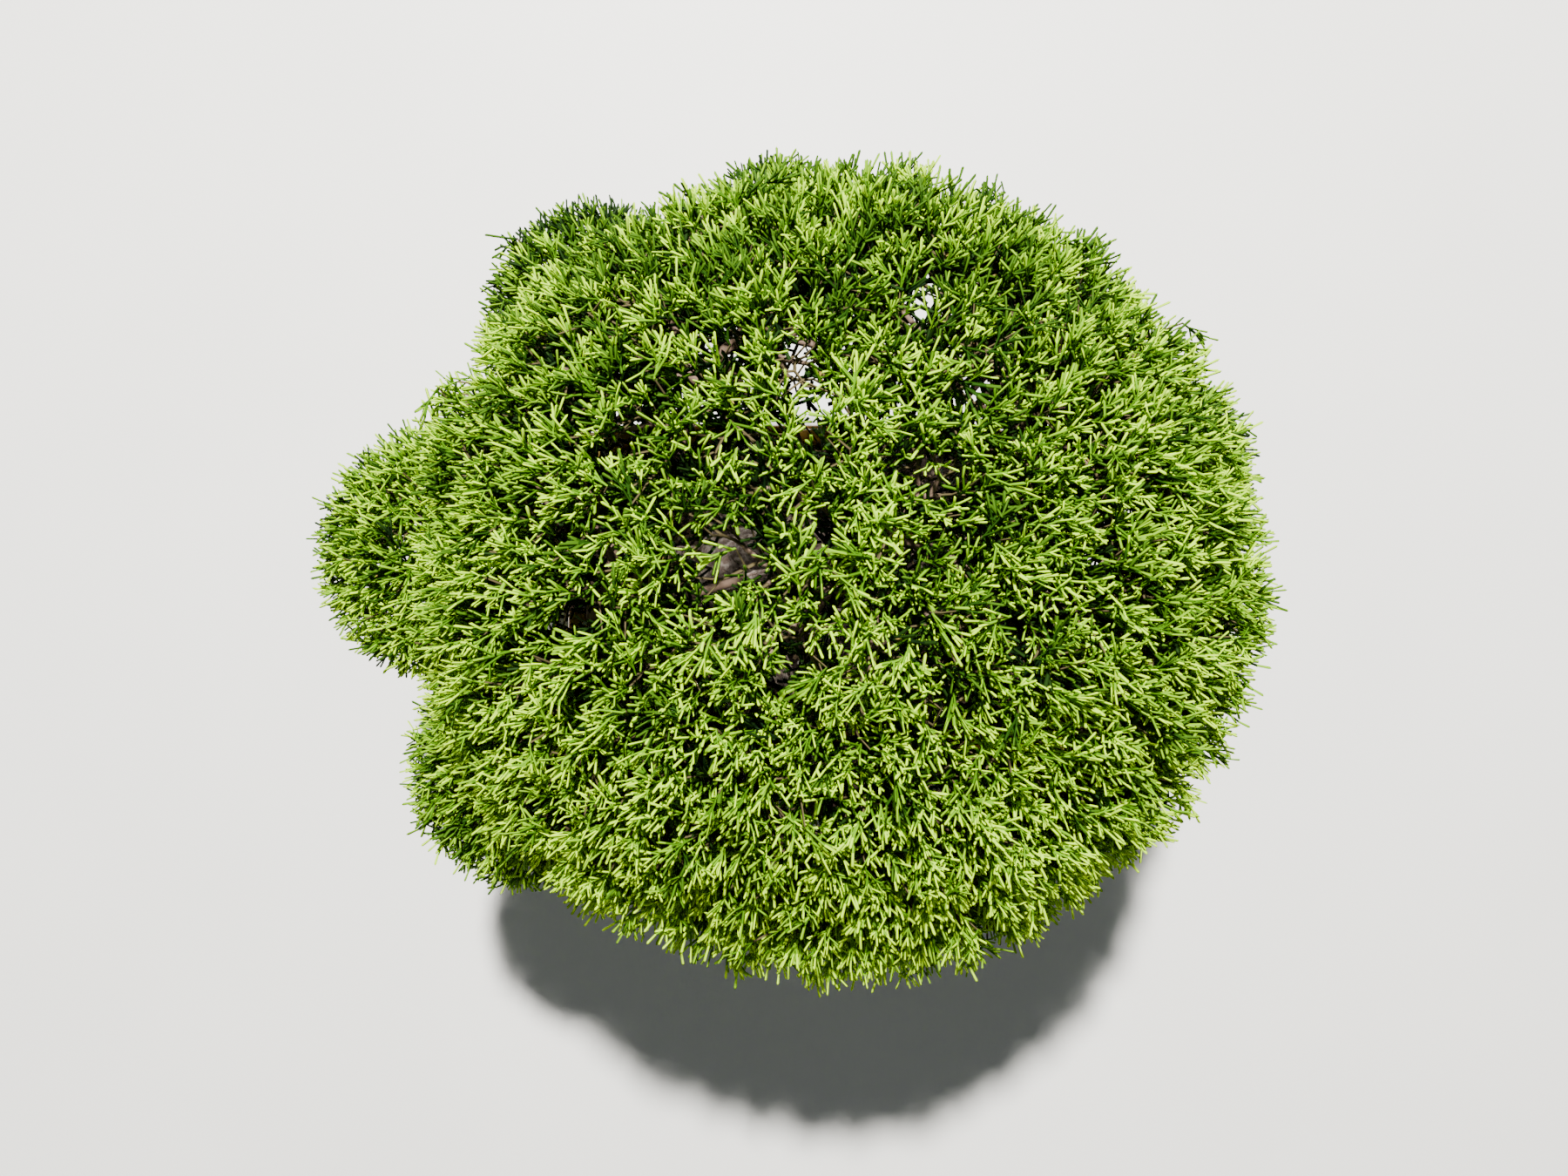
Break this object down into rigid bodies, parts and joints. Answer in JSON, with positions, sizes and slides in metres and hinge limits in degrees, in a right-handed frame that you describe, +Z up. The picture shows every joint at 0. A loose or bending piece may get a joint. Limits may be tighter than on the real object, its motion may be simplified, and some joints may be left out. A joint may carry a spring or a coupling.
{
  "type": "bonsai tree",
  "caption": "Clipped juniper bonsai with a dense rounded crown over a short leaning trunk, standing in an olive-glazed rectangular pot",
  "frame": {"origin": "middle of the pot's flat underside", "axes": "+X along the pot's long side, +Z up along the trunk, -Y out of the pot's front"},
  "size_m": [0.3304, 0.2854, 0.2542],
  "materials": {
    "glaze": "gloss",
    "soil": "matte",
    "bark": "matte",
    "foliage": "matte"
  },
  "bodies": {
    "root": {"bough_back": "bark", "bough_back_left": "bark", "bough_brim_1": "bark", "bough_brim_2": "bark", "bough_brim_3": "bark", "bough_brim_4": "bark", "bough_brim_5": "bark", "bough_brim_6": "bark", "bough_brim_7": "bark", "bough_brim_8": "bark", "bough_front": "bark", "bough_front_left": "bark", "bough_front_right": "bark", "bough_left": "bark", "bough_right": "bark", "bough_shoulder_1": "bark", "bough_shoulder_2": "bark", "bough_shoulder_3": "bark", "bough_shoulder_4": "bark", "bough_shoulder_5": "bark", "foliage_back": "foliage", "foliage_back_left": "foliage", "foliage_brim_1": "foliage", "foliage_brim_2": "foliage", "foliage_brim_3": "foliage", "foliage_brim_4": "foliage", "foliage_brim_5": "foliage", "foliage_brim_6": "foliage", "foliage_brim_7": "foliage", "foliage_brim_8": "foliage", "foliage_front": "foliage", "foliage_front_left": "foliage", "foliage_front_right": "foliage", "foliage_left": "foliage", "foliage_right": "foliage", "foliage_shoulder_1": "foliage", "foliage_shoulder_2": "foliage", "foliage_shoulder_3": "foliage", "foliage_shoulder_4": "foliage", "foliage_shoulder_5": "foliage", "foliage_top": "foliage", "pot": "glaze", "soil": "soil", "trunk": "bark"}
  },
  "joints": []
}
